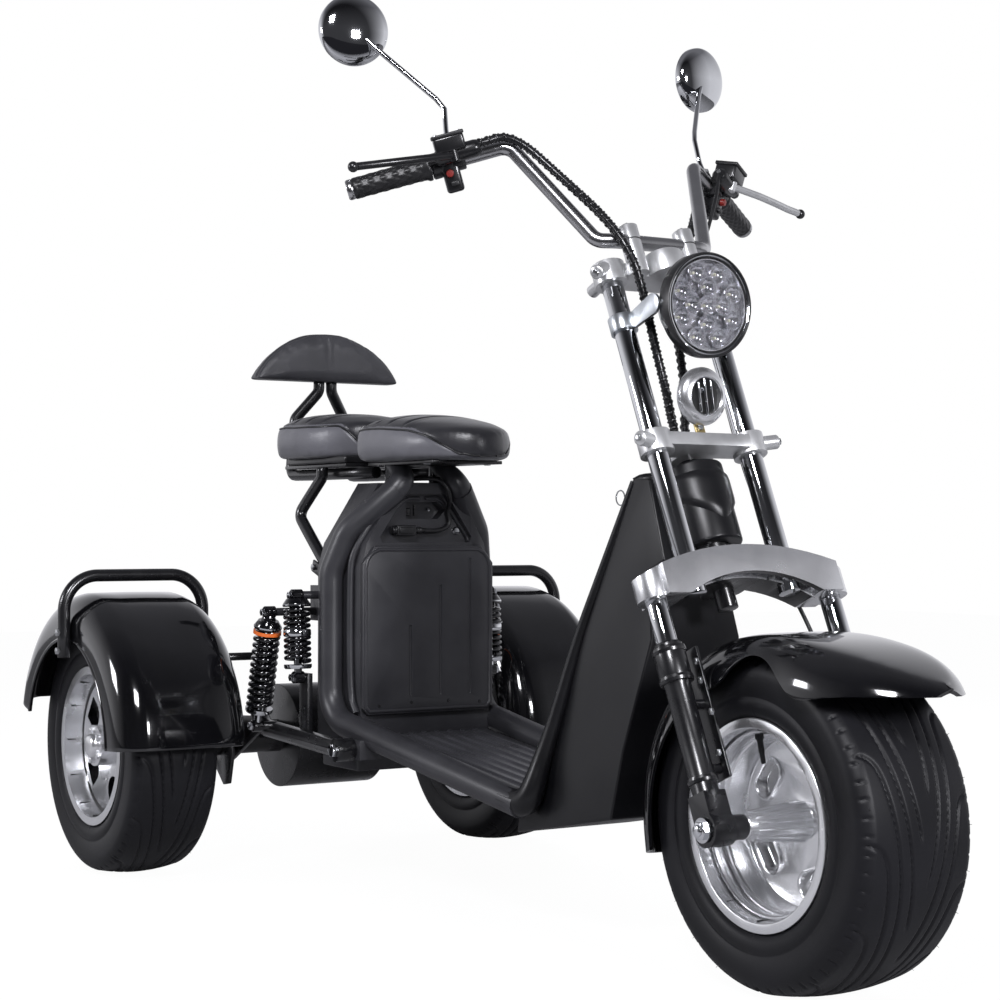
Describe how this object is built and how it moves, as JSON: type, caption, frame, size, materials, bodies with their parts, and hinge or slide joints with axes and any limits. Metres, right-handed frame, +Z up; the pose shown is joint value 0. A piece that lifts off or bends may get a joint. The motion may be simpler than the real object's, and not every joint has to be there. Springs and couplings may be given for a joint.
{
  "type": "three-wheeled electric scooter",
  "caption": "Electric trike with a raked fork, wide low tyres, high handlebar, footboard, tandem saddles, backrest and hooped rear fenders.",
  "frame": {"origin": "on the ground below the middle of the whole vehicle's box", "axes": "+X forward, +Y to the rider's left, +Z up"},
  "size_m": [1.9356, 1.0616, 1.43],
  "materials": {
    "tyre": "matt rubber with road tread",
    "polished_alloy": "polished cast alloy",
    "steel": "bright steel",
    "black_metal": "satin black paint",
    "chrome": "chrome plate",
    "silver_alloy": "silver painted alloy",
    "rubber": "black rubber",
    "black_plastic": "grained black plastic",
    "lamp_shell": "black shell with zinc ears",
    "clear_lens": "clear lens",
    "gloss_black": "gloss black",
    "seat_cover": "grained artificial leather"
  },
  "bodies": {
    "chassis": {"head_tube": "black_metal", "leg_shield": "black_plastic", "neck_hood": "black_plastic", "footboard": "black_plastic", "body_shell": "black_plastic", "battery_cover": "black_plastic", "battery_plug": "black_plastic", "battery_lead": "rubber", "seat_frame": "black_metal", "seat_rider": "seat_cover", "seat_passenger": "seat_cover", "backrest_frame": "black_metal", "backrest": "seat_cover", "seat_struts": "black_metal", "swing_frame": "black_metal", "pivot_bolts": "steel", "rear_axle": "black_metal", "brake_brackets": "black_metal", "shocks_right": "steel", "shocks_left": "steel", "rear_fender_right": "gloss_black", "rear_fender_left": "gloss_black", "hoop_right": "black_metal", "hoop_left": "black_metal", "controller_box": "black_plastic", "ignition_lock": "black_metal"},
    "steering": {"front_axle": "black_metal", "fork_sliders": "black_metal", "stanchions": "chrome", "fork_crown": "polished_alloy", "upper_tubes": "chrome", "lower_clamp": "silver_alloy", "top_clamp": "silver_alloy", "steering_stem": "steel", "handlebar": "chrome", "grip_right": "rubber", "grip_left": "rubber", "controls_right": "black_plastic", "controls_left": "black_plastic", "mirror_right": "chrome", "mirror_left": "chrome", "headlamp": "lamp_shell", "headlamp_glass": "clear_lens", "horn": "chrome", "cable_bundles": "rubber", "front_fender": "gloss_black", "fender_stays": "black_metal", "brake_caliper_front": "black_metal", "brake_hose": "rubber"},
    "front_wheel": {"tyre_front": "tyre", "rim_front": "polished_alloy", "brake_disc_front": "steel"},
    "rear_wheel_right": {"tyre_rear_right": "tyre", "rim_rear_right": "polished_alloy"},
    "rear_wheel_left": {"tyre_rear_left": "tyre", "rim_rear_left": "polished_alloy"}
  },
  "joints": [
    {"name": "steer", "type": "hinge", "parent": "chassis", "child": "steering", "pos_m": [0.66131, 0, 0.21173], "axis": [-0.4067, 0, 0.9135], "range_deg": [-30, 30]},
    {"name": "front_wheel_spin", "type": "hinge", "parent": "steering", "child": "front_wheel", "pos_m": [0.69785, 0, 0.228], "axis": [0, 1, 0], "continuous": true},
    {"name": "rear_right_spin", "type": "hinge", "parent": "chassis", "child": "rear_wheel_right", "pos_m": [-0.70415, -0.3875, 0.228], "axis": [0, 1, 0], "continuous": true},
    {"name": "rear_left_spin", "type": "hinge", "parent": "chassis", "child": "rear_wheel_left", "pos_m": [-0.70415, 0.3875, 0.228], "axis": [0, 1, 0], "continuous": true}
  ]
}
